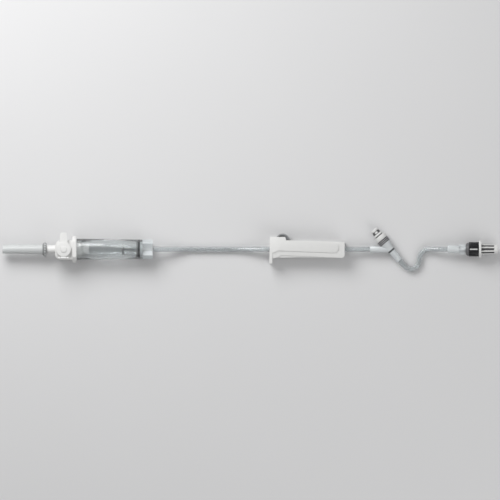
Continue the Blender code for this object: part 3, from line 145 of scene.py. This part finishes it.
# Painted highlight: a light dash along the top of the lock collar, from this far past its start to this far short of
# its end, this wide and this far above its axis
PAINTED_HIGHLIGHT_START = 3.4 * MM
PAINTED_HIGHLIGHT_END = 1.0 * MM
PAINTED_HIGHLIGHT_HALF_WIDTH = 0.5 * MM
PAINTED_HIGHLIGHT_RADIUS = 5.0 * MM
CAP_CREST_RADIUS = 3.7 * MM
CAP_ROUND_END = 3.1 * MM
CAP_GRIP_START = 13.3 * MM

# Edges
SMOOTH_ANGLE = radians(50)
SHARP_ANGLE = radians(32)
SOFT_EDGE = 0.08 * MM
JOIN_DISTANCE = 0.001 * MM


# Camera, floor and light

def add_camera():
    """Straight above the table, with the drawing's frame."""
    data = bpy.data.cameras.new("camera")
    data.type = "ORTHO"
    data.ortho_scale = PHOTO_PIXELS * PIXEL
    data.clip_end = 10
    camera = bpy.data.objects.new("camera", data)
    half = PHOTO_PIXELS / 2
    camera.location = ((half - PHOTO_MIDDLE_X) * PIXEL, (PHOTO_MIDDLE_Y - half) * PIXEL, CAMERA_HEIGHT)
    bpy.context.scene.collection.objects.link(camera)
    bpy.context.scene.camera = camera


def add_light(name, place, size, power):
    """A soft light aimed at the middle of the set."""
    data = bpy.data.lights.new(name, "AREA")
    data.shape = "RECTANGLE"
    data.size, data.size_y = size
    data.energy = power
    light = bpy.data.objects.new(name, data)
    light.location = place
    light.rotation_euler = (-Vector(place)).to_track_quat("-Z", "Y").to_euler()
    bpy.context.scene.collection.objects.link(light)


def add_floor(look):
    bm = bmesh.new()
    bmesh.ops.create_grid(bm, x_segments=1, y_segments=1, size=FLOOR_HALF_WIDTH)
    mesh = bpy.data.meshes.new("floor")
    bm.to_mesh(mesh)
    bm.free()
    floor = bpy.data.objects.new("floor", mesh)
    floor.data.materials.append(look)
    bpy.context.scene.collection.objects.link(floor)


def add_world(horizon, zenith):
    """A plain white room, darker towards the horizon, so that clear pieces show their edges."""
    world = bpy.data.worlds.new("studio")
    world.use_nodes = True
    nodes = world.node_tree.nodes
    links = world.node_tree.links
    background = nodes["Background"]
    split = nodes.new("ShaderNodeSeparateXYZ")
    links.new(nodes.new("ShaderNodeTexCoord").outputs["Generated"], split.inputs["Vector"])
    rise = nodes.new("ShaderNodeMapRange")
    rise.interpolation_type = "SMOOTHSTEP"
    rise.inputs["From Max"].default_value = 0.85
    rise.inputs["To Min"].default_value = horizon
    rise.inputs["To Max"].default_value = zenith
    links.new(split.outputs["Z"], rise.inputs["Value"])
    links.new(rise.outputs["Result"], background.inputs["Strength"])
    background.inputs["Color"].default_value = (1, 1, 1, 1)
    bpy.context.scene.world = world


# Materials

class Look:
    """A Principled material with procedural detail in the object's own space, in metres."""

    def __init__(self, name, colour, roughness, **sockets):
        self.material = bpy.data.materials.new(name)
        self.material.use_nodes = True
        self.nodes = self.material.node_tree.nodes
        self.links = self.material.node_tree.links
        self.shader = self.nodes["Principled BSDF"]
        self.colour = colour
        self.shader.inputs["Base Color"].default_value = (*colour, 1)
        self.shader.inputs["Roughness"].default_value = roughness
        for socket, value in sockets.items():
            self.shader.inputs[socket.replace("_", " ")].default_value = value
        self.space = self.nodes.new("ShaderNodeTexCoord").outputs["Object"]
        self.bump = None

    def noise(self, scale, detail):
        noise = self.nodes.new("ShaderNodeTexNoise")
        noise.inputs["Scale"].default_value = scale
        noise.inputs["Detail"].default_value = detail
        self.links.new(self.space, noise.inputs["Vector"])
        return noise.outputs["Fac"]

    def mottle(self, scale, amount):
        """Colour that wanders a little to either side of the base colour."""
        mix = self.nodes.new("ShaderNodeMix")
        mix.data_type = "RGBA"
        dark = [max(0, c * (1 - amount)) for c in self.colour]
        light = [min(1, c * (1 + amount)) for c in self.colour]
        mix.inputs["A"].default_value = (*dark, 1)
        mix.inputs["B"].default_value = (*light, 1)
        self.links.new(self.noise(scale, 4), mix.inputs["Factor"])
        self.links.new(mix.outputs["Result"], self.shader.inputs["Base Color"])
        return self

    def polish(self, scale, low, high):
        """Roughness between two values, in patches."""
        reach = self.nodes.new("ShaderNodeMapRange")
        reach.inputs["From Min"].default_value = 0.3
        reach.inputs["From Max"].default_value = 0.7
        reach.inputs["To Min"].default_value = low
        reach.inputs["To Max"].default_value = high
        self.links.new(self.noise(scale, 3), reach.inputs["Value"])
        self.links.new(reach.outputs["Result"], self.shader.inputs["Roughness"])
        return self

    def relief(self, height, depth):
        """Bump from a height between 0 and 1, that deep in metres."""
        bump = self.nodes.new("ShaderNodeBump")
        bump.inputs["Distance"].default_value = depth
        self.links.new(height, bump.inputs["Height"])
        if self.bump:
            self.links.new(self.bump.outputs["Normal"], bump.inputs["Normal"])
        self.links.new(bump.outputs["Normal"], self.shader.inputs["Normal"])
        self.bump = bump
        return self

    def grain(self, scale, depth):
        return self.relief(self.noise(scale, 2), depth)

    def ramp(self, value, low, high):
        """0 below low, 1 above high."""
        reach = self.nodes.new("ShaderNodeMapRange")
        reach.inputs["From Min"].default_value = low
        reach.inputs["From Max"].default_value = high
        self.links.new(value, reach.inputs["Value"])
        return reach.outputs["Result"]

    def chain(self, steps):
        """The point's place through vector operations, each with its other vector or none."""
        value = self.space
        for operation, other in steps:
            step = self.nodes.new("ShaderNodeVectorMath")
            step.operation = operation
            self.links.new(value, step.inputs[0])
            if other:
                step.inputs[1].default_value = other
            value = step.outputs["Value" if operation in ("LENGTH", "DOT_PRODUCT") else "Vector"]
        return value

    def past(self, place, axis):
        """0 before the plane through the place across the axis, 1 past it."""
        value = self.chain([("SUBTRACT", place), ("DOT_PRODUCT", axis)])
        return self.ramp(value, -MASK_EDGE, MASK_EDGE)

    def beyond(self, radius, place, axis):
        """0 nearer than the radius to the line through the place along the axis, 1 further out."""
        value = self.chain([("SUBTRACT", place), ("CROSS_PRODUCT", axis), ("LENGTH", None)])
        return self.ramp(value, radius - MASK_EDGE, radius + MASK_EDGE)

    def either(self, highest, *others):
        """The highest of the masks."""
        for other in others:
            step = self.nodes.new("ShaderNodeMath")
            step.operation = "MAXIMUM"
            self.links.new(highest, step.inputs[0])
            self.links.new(other, step.inputs[1])
            highest = step.outputs["Value"]
        return highest

    def tint(self, mask, colour):
        """Another colour where the mask is 0."""
        mix = self.nodes.new("ShaderNodeMix")
        mix.data_type = "RGBA"
        mix.inputs["A"].default_value = (*colour, 1)
        base = self.shader.inputs["Base Color"]
        if base.links:
            self.links.new(base.links[0].from_socket, mix.inputs["B"])
        else:
            mix.inputs["B"].default_value = base.default_value
        self.links.new(mask, mix.inputs["Factor"])
        self.links.new(mix.outputs["Result"], base)
        return self


def weave(look, pitch, depth):
    """A square mesh of threads across the X axis."""
    split = look.nodes.new("ShaderNodeSeparateXYZ")
    look.links.new(look.space, split.inputs["Vector"])
    waves = []
    for axis in ("Y", "Z"):
        turn = look.nodes.new("ShaderNodeMath")
        turn.operation = "MULTIPLY"
        turn.inputs[1].default_value = tau / pitch
        look.links.new(split.outputs[axis], turn.inputs[0])
        wave = look.nodes.new("ShaderNodeMath")
        wave.operation = "SINE"
        look.links.new(turn.outputs["Value"], wave.inputs[0])
        waves.append(wave.outputs["Value"])
    return look.relief(look.either(*waves), depth)


def make_looks():
    """Materials by the record's slots, and by node where one slot has two finishes, and where the cap, the valve head
    and the port carry painted shade.
    """
    clear = dict(Transmission_Weight=1.0, IOR=1.5, Alpha=0.9)
    chamber = Look("clear_styrene", (0.95, 0.975, 0.98), 0.03, **clear).polish(260, 0.02, 0.07)

    def white(name):
        look = Look(name, (0.74, 0.74, 0.73), 0.38)
        return look.mottle(160, 0.035).polish(400, 0.28, 0.48).grain(2200, 0.010 * MM)

    def grey(name, shade, **sockets):
        look = Look(name, (shade, shade * 1.02, shade * 1.05), 0.4, **sockets)
        return look.mottle(300, 0.08).polish(500, 0.32, 0.5).grain(2600, 0.010 * MM)

    milky = dict(Transmission_Weight=0.35, IOR=1.5)

    def milky_fitting(name):
        look = Look(name, (0.87, 0.905, 0.92), 0.15, **milky)
        return look.polish(260, 0.1, 0.22).grain(700, 0.008 * MM)

    cover = Look("natural_polythene", (0.78, 0.80, 0.80), 0.4, **milky).mottle(60, 0.02)
    # Painted shade: the floors of the bead's grooves, inside the groove radius along the bead, are tinted dark grey
    teeth = cover.beyond(BEAD_GROOVE_RADIUS, (0, SET_Y, SPIKE_Z), (1, 0, 0))
    sleeve = cover.past((cover_high.x - BEAD_LENGTH, 0, 0), (-1, 0, 0))
    cover.tint(cover.either(teeth, sleeve), (0.36, 0.37, 0.37))
    cover.polish(300, 0.34, 0.48).grain(1500, 0.012 * MM)

    cap = white("capped_white")
    # Painted shade: between the grip's fins, inside the crest radius, the white cap is tinted near black
    crests = cap.beyond(CAP_CREST_RADIUS, (0, SET_Y, LUER_Z), (1, 0, 0))
    round_end = cap.past((CAP_END_X - CAP_ROUND_END, 0, 0), (1, 0, 0))
    flange = cap.past((CAP_END_X - CAP_GRIP_START, 0, 0), (-1, 0, 0))
    cap.tint(cap.either(crests, round_end, flange), (0.10, 0.10, 0.105))

    barrel = Vector((cos(PORT_ANGLE), -sin(PORT_ANGLE), 0))
    site = Vector((SITE_X, SET_Y, SITE_Z))
    head = white("valve_white")
    # Painted shade: inside the neck radius, from the top of the lip down, the white valve head is tinted near black
    around_neck = head.beyond(VALVE_NECK_RADIUS, site, barrel)
    lip = head.past(site + barrel * VALVE_LIP_END, -barrel)
    head.tint(head.either(around_neck, lip), (0.08, 0.08, 0.083))

    bands = grey("dark_grey", 0.02, Specular_IOR_Level=0.25)
    bands.tint(bands.beyond(BAND_RADIUS, site, barrel), (0.42, 0.42, 0.43))

    collar = Look("moulded_black", (0.014, 0.014, 0.016), 0.3, Specular_IOR_Level=0.3).mottle(200, 0.3)
    collar.tint(collar.past((collar_low.x + COLLAR_SHOULDER, 0, 0), (1, 0, 0)), (0.14, 0.14, 0.145))
    # Painted highlight: a light grey dash along the top of the collar's grip, on the upper side only
    around_painted_highlight = collar.either(
        collar.past((0, SET_Y + PAINTED_HIGHLIGHT_HALF_WIDTH, 0), (0, 1, 0)),
        collar.past((0, SET_Y - PAINTED_HIGHLIGHT_HALF_WIDTH, 0), (0, -1, 0)),
        collar.past((0, 0, LUER_Z + PAINTED_HIGHLIGHT_RADIUS), (0, 0, -1)),
        collar.past((collar_low.x + PAINTED_HIGHLIGHT_START, 0, 0), (-1, 0, 0)),
        collar.past((collar_high.x - PAINTED_HIGHLIGHT_END, 0, 0), (1, 0, 0)),
    )
    collar.tint(around_painted_highlight, (0.6, 0.6, 0.6))
    collar.polish(700, 0.24, 0.34).grain(2200, 0.008 * MM)

    port = milky_fitting("milky_port")
    # Painted shade: a ring just past the bell, at the step to the sleeve, is tinted dark grey
    before = port.past(site + barrel * BELL_END, -barrel)
    after = port.past(site + barrel * (BELL_END + JUNCTION_SHADE_LENGTH), barrel)
    port.tint(port.either(before, after), (0.12, 0.125, 0.13))

    tubing = Look("clear_tubing", (0.82, 0.85, 0.86), 0.12, Transmission_Weight=0.78, IOR=1.45)
    membrane = Look("vent_membrane", (0.88, 0.88, 0.87), 0.9)
    silicone = Look("silicone", (0.62, 0.66, 0.70), 0.45, Transmission_Weight=0.2, IOR=1.41)
    looks = {
        "white_plastic": white("moulded_white"),
        "natural_cover": cover,
        "clear_plastic": milky_fitting("milky_fitting"),
        "clear_tubing": tubing.polish(220, 0.08, 0.18),
        "grey_plastic": grey("moulded_grey", 0.26),
        "black_plastic": collar,
        "filter_weave": weave(Look("filter_weave", (0.05, 0.052, 0.056), 0.75), 0.5 * MM, 0.05 * MM),
        "vent_membrane": membrane.mottle(900, 0.04).grain(4000, 0.02 * MM),
        "silicone": silicone.polish(500, 0.36, 0.55).grain(1500, 0.004 * MM),
        "valve_collar": bands,
        "luer_cap": cap,
        "valve_head": head,
        "drip_chamber": chamber,
        "y_body": port,
    }
    return {name: look.material for name, look in looks.items()}


# Tubes

def walk(points):
    """How far each point is along the line through all of them."""
    return np.cumsum([0.0] + [(b - a).length for a, b in zip(points, points[1:])])


def smooth_route(points, spacing):
    """Points every so often along a smooth curve through the route's own points."""
    route = [Vector(point) for point in points]
    ends = [2 * route[0] - route[1], *route, 2 * route[-1] - route[-2]]
    fine = []
    for p0, p1, p2, p3 in zip(ends, ends[1:], ends[2:], ends[3:]):
        for step in range(CURVE_STEPS):
            t = step / CURVE_STEPS
            fine.append(0.5 * (
                2 * p1 + (p2 - p0) * t
                + (2 * p0 - 5 * p1 + 4 * p2 - p3) * t**2
                + (3 * p1 - p0 - 3 * p2 + p3) * t**3
            ))
    fine.append(route[-1])
    walked = walk(fine)
    wanted = np.linspace(0, walked[-1], ceil(walked[-1] / spacing) + 1)
    lines = [np.interp(wanted, walked, [point[axis] for point in fine]) for axis in range(3)]
    return [Vector(point) for point in zip(*lines)], float(walked[-1])


def as_piece(name, bm, body, look):
    """The bmesh as a piece of the object, faces out, smooth between sharp edges, riding on a body."""
    bmesh.ops.recalc_face_normals(bm, faces=bm.faces)
    mesh = bpy.data.meshes.new(name)
    bm.to_mesh(mesh)
    bm.free()
    mesh.shade_smooth()
    mesh.set_sharp_from_angle(angle=SMOOTH_ANGLE)
    mesh.materials.append(look)
    piece = bpy.data.objects.new(name, mesh)
    bpy.context.scene.collection.objects.link(piece)
    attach(piece, body)
    return piece


def rings_along(bm, route, radius, sides):
    """A ring of points round every point of the route."""
    side = Vector((0, 0, 1))
    rings = []
    for i, place in enumerate(route):
        ahead = (route[min(i + 1, len(route) - 1)] - route[max(i - 1, 0)]).normalized()
        side = (side - ahead * side.dot(ahead)).normalized()
        other = ahead.cross(side)
        turns = [tau * k / sides for k in range(sides)]
        rings.append([bm.verts.new(place + (side * cos(a) + other * sin(a)) * radius) for a in turns])
    return rings


def join_rings(bm, pairs):
    for one, two in pairs:
        for k in range(len(one)):
            n = (k + 1) % len(one)
            bm.faces.new((one[k], one[n], two[n], two[k]))


def tube_wall(name, route, look):
    """A length of the tube's wall along the route, closed by a ring at each end."""
    bm = bmesh.new()
    outer = rings_along(bm, route, TUBE_RADIUS, TUBE_SIDES)
    inner = rings_along(bm, route, LUMEN_RADIUS, TUBE_SIDES)
    join_rings(bm, [*zip(outer, outer[1:]), *zip(inner, inner[1:]), (outer[0], inner[0]), (outer[-1], inner[-1])])
    return as_piece(name, bm, "set", look)


def main_route():
    """From the chamber's socket down to the table, up through the clamp, and into the side port's leg."""
    low = SET_Y - 1.2 * MM
    return [
        (BASE_END_X - SOCKET_DEPTH + SEAT_GAP, SET_Y, SPIKE_Z),
        (BASE_END_X - 3 * MM, SET_Y, SPIKE_Z),
        (BASE_END_X, SET_Y, SPIKE_Z),
        (BASE_END_X + 6 * MM, SET_Y, SPIKE_Z - 0.4 * MM),
        (BASE_END_X + 16 * MM, SET_Y, SPIKE_Z - 3.4 * MM),
        (BASE_END_X + 27 * MM, SET_Y, TUBE_BED + 0.5 * MM),
        (BASE_END_X + 37 * MM, SET_Y, TUBE_BED),
        (CLAMP_X - 42 * MM, SET_Y, TUBE_BED),
        (CLAMP_X - 30 * MM, SET_Y, TUBE_BED),
        (CLAMP_X - 21 * MM, SET_Y, TUBE_BED + 0.7 * MM),
        (CLAMP_X - 12 * MM, SET_Y, CLAMP_Z - 1.3 * MM),
        (CLAMP_X - 5 * MM, SET_Y, CLAMP_Z - 0.15 * MM),
        (CLAMP_X, SET_Y, CLAMP_Z),
        (CLAMP_X + 2.4 * MM, SET_Y - 0.08 * MM, CLAMP_Z),
        (CLAMP_X + 8.7 * MM, low + 0.1 * MM, CLAMP_Z),
        (CLAMP_X + 14.7 * MM, low, CLAMP_Z),
        (CLAMP_END_X - 20 * MM, low, CLAMP_Z),
        (CLAMP_END_X - 14 * MM, low + 0.1 * MM, CLAMP_Z),
        (CLAMP_END_X - 3.4 * MM, SET_Y - 0.08 * MM, CLAMP_Z),
        (CLAMP_END_X, SET_Y, CLAMP_Z - 0.1 * MM),
        (CLAMP_END_X + 6 * MM, SET_Y, CLAMP_Z - 0.5 * MM),
        (LEG_X - 6 * MM, SET_Y, SITE_Z + 0.3 * MM),
        (LEG_X, SET_Y, SITE_Z),
        (LEG_X + 2 * MM, SET_Y, SITE_Z),
        (LEG_X + SOCKET_DEPTH - SEAT_GAP, SET_Y, SITE_Z),
    ]


def lower_route():
    """From the side port's sleeve round a loose S on the table and up into the luer connector."""
    down = Vector((cos(PORT_ANGLE), -sin(PORT_ANGLE), 0))
    mouth = Vector((SITE_X, SET_Y, SITE_Z)) + down * BARREL_END
    return [
        mouth - down * (SOCKET_DEPTH - SEAT_GAP),
        mouth - down * 2 * MM,
        mouth,
        mouth + down * 2 * MM - Vector((0, 0, 0.1 * MM)),
        (123.4 * MM, -16.15 * MM, 4.1 * MM),
        (126.0 * MM, -18.1 * MM, 3.1 * MM),
        (128.9 * MM, -18.7 * MM, 2.4 * MM),
        (131.8 * MM, -17.8 * MM, TUBE_BED),
        (134.0 * MM, -15.6 * MM, TUBE_BED),
        (135.1 * MM, -12.6 * MM, TUBE_BED),
        (135.5 * MM, -9.3 * MM, TUBE_BED),
        (136.8 * MM, -6.2 * MM, 2.3 * MM),
        (139.2 * MM, -3.9 * MM, 2.7 * MM),
        (142.4 * MM, SET_Y, 3.4 * MM),
        (147.5 * MM, SET_Y, 4.9 * MM),
        (CONNECTOR_X - 5 * MM, SET_Y, LUER_Z - 0.4 * MM),
        (CONNECTOR_X, SET_Y, LUER_Z),
        (CONNECTOR_X + 2 * MM, SET_Y, LUER_Z),
        (CONNECTOR_X + SOCKET_DEPTH - SEAT_GAP, SET_Y, LUER_Z),
    ]


def add_cord(name, node, route, look):
    piece = tube_wall(name, route, look)
    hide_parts(node)


def between(route, low, high):
    """The part of a route between two places along X, with its ends there."""
    lines = list(zip(*route))
    ends = [Vector([np.interp(x, lines[0], line) for line in lines]) for x in (low, high)]
    inner = [point for point in route if low + RING_PITCH / 4 < point.x < high - RING_PITCH / 4]
    return [ends[0], *inner, ends[1]]


def add_main_tube(look):
    """Two free stretches, and between them short lengths of round tube under the wheel at the end of its travel."""
    route, _ = smooth_route(main_route(), RING_PITCH)
    places = [wheel_end.x + step * WHEEL_RADIUS for step in PINCH_STEPS]
    add_cord("main_tube_upper", "main_tube", between(route, route[0].x, places[0] - HAIR_GAP), look)
    add_cord("main_tube_lower", "main_tube", between(route, places[-1] + HAIR_GAP, route[-1].x), look)
    for number, (left, right) in enumerate(zip(places, places[1:]), 1):
        length = between(route, left + HAIR_GAP, right - HAIR_GAP)
        piece = tube_wall(f"main_tube_pinch_{number}", length, look)
        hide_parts("main_tube")
        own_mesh(piece)


# Luer threads and filter wires

def add_thread(name, body, look, start_x, first, turns, root, crest, root_half, crest_half):
    """Two right-handed ridges about the luer's axis, opposite each other, from the turn called first on.

    root and crest are radii, and root_half and crest_half are half the ridge's width there.
    """
    bm = bmesh.new()
    steps = ceil(turns * THREAD_STEPS)
    for start in range(THREAD_STARTS):
        rings = []
        for step in range(steps + 1):
            turn = first + turns * step / steps
            angle = tau * (turn + start / THREAD_STARTS)
            rise = min(1, (step + 0.5) / THREAD_RAMP, (steps - step + 0.5) / THREAD_RAMP)
            top = root + (crest - root) * rise
            section = [(root, -root_half), (root, root_half), (top, crest_half), (top, -crest_half)]
            rings.append([
                bm.verts.new((
                    start_x + THREAD_LEAD * turn + half / 2,
                    SET_Y + radius * cos(angle),
                    LUER_Z + radius * sin(angle),
                ))
                for radius, half in section
            ])
        join_rings(bm, zip(rings, rings[1:]))
        bm.faces.new(rings[0])
        bm.faces.new(rings[-1][::-1])
    return as_piece(name, bm, body, look)


def add_threads(looks):
    start_x = collar_high.x - THREAD_REACH
    add_thread("collar_thread", "collar", looks["black_plastic"], start_x, first=0, turns=1.1,
               root=4.05 * MM, crest=3.55 * MM, root_half=1.0 * MM, crest_half=0.5 * MM)
    between_ridges = start_x - THREAD_LEAD / 4
    add_thread("cap_lugs", "cap", looks["white_plastic"], between_ridges, first=0.17, turns=0.17,
               root=3.2 * MM, crest=3.85 * MM, root_half=1.2 * MM, crest_half=0.8 * MM)


def add_filter_wires(look):
    """A square mesh of waved wires over both faces of the filter disc."""
    bm = bmesh.new()
    low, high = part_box("filter_mesh")
    reach = (high.z - low.z) / 2 - 2 * WIRE_RADIUS
    count = int(reach / WIRE_PITCH)
    for face in (low.x, high.x):
        for turned in (False, True):
            for line in range(-count, count + 1):
                aside = line * WIRE_PITCH
                half = sqrt(reach**2 - aside**2)
                steps = ceil(4 * half / WIRE_PITCH)
                route = []
                for step in range(steps + 1):
                    along = half * (2 * step / steps - 1)
                    wave = WIRE_WAVE * cos(tau / 2 * (along / WIRE_PITCH + line + turned))
                    y, z = (along, aside) if turned else (aside, along)
                    route.append(Vector((face + wave, SET_Y + y, SPIKE_Z + z)))
                rings = rings_along(bm, route, WIRE_RADIUS, WIRE_SIDES)
                join_rings(bm, zip(rings, rings[1:]))
                bm.faces.new(rings[0])
                bm.faces.new(rings[-1][::-1])
    as_piece("filter_wires", bm, "set", look)


# CAD nodes

def soften(node):
    """Joins the frame's loose faces, rounds the sharp edges a little and shades the rest smooth."""
    node.data.shade_smooth()
    join = node.modifiers.new("join", "WELD")
    join.merge_threshold = JOIN_DISTANCE
    edges = node.modifiers.new("soft edges", "BEVEL")
    edges.width = SOFT_EDGE
    edges.segments = 2
    edges.limit_method = "ANGLE"
    edges.angle_limit = SHARP_ANGLE
    edges.harden_normals = True


def dress_nodes(looks):
    slots = {part["node"]: part["material_slot"] for part in frame["record"]["subparts"]}
    for name, node in frame["nodes"].items():
        node.data.materials.clear()
        node.data.materials.append(looks.get(name, looks[slots[name]]))
        soften(node)


def main():
    looks = make_looks()
    add_camera()
    floor_look = Look("pale_table", (0.66, 0.66, 0.665), 0.7)
    add_floor(floor_look.mottle(12, 0.01).polish(30, 0.62, 0.75).material)
    add_world(HORIZON_STRENGTH, ZENITH_STRENGTH)
    add_light("key", **KEY_LIGHT)
    add_light("fill", **FILL_LIGHT)
    add_main_tube(looks["clear_tubing"])
    add_cord("lower_tube_wall", "lower_tube", smooth_route(lower_route(), RING_PITCH)[0], looks["clear_tubing"])
    add_threads(looks)
    add_filter_wires(looks["filter_weave"])
    dress_nodes(looks)
    bpy.context.scene.view_settings.view_transform = "Standard"
    bpy.context.view_layer.update()


main()
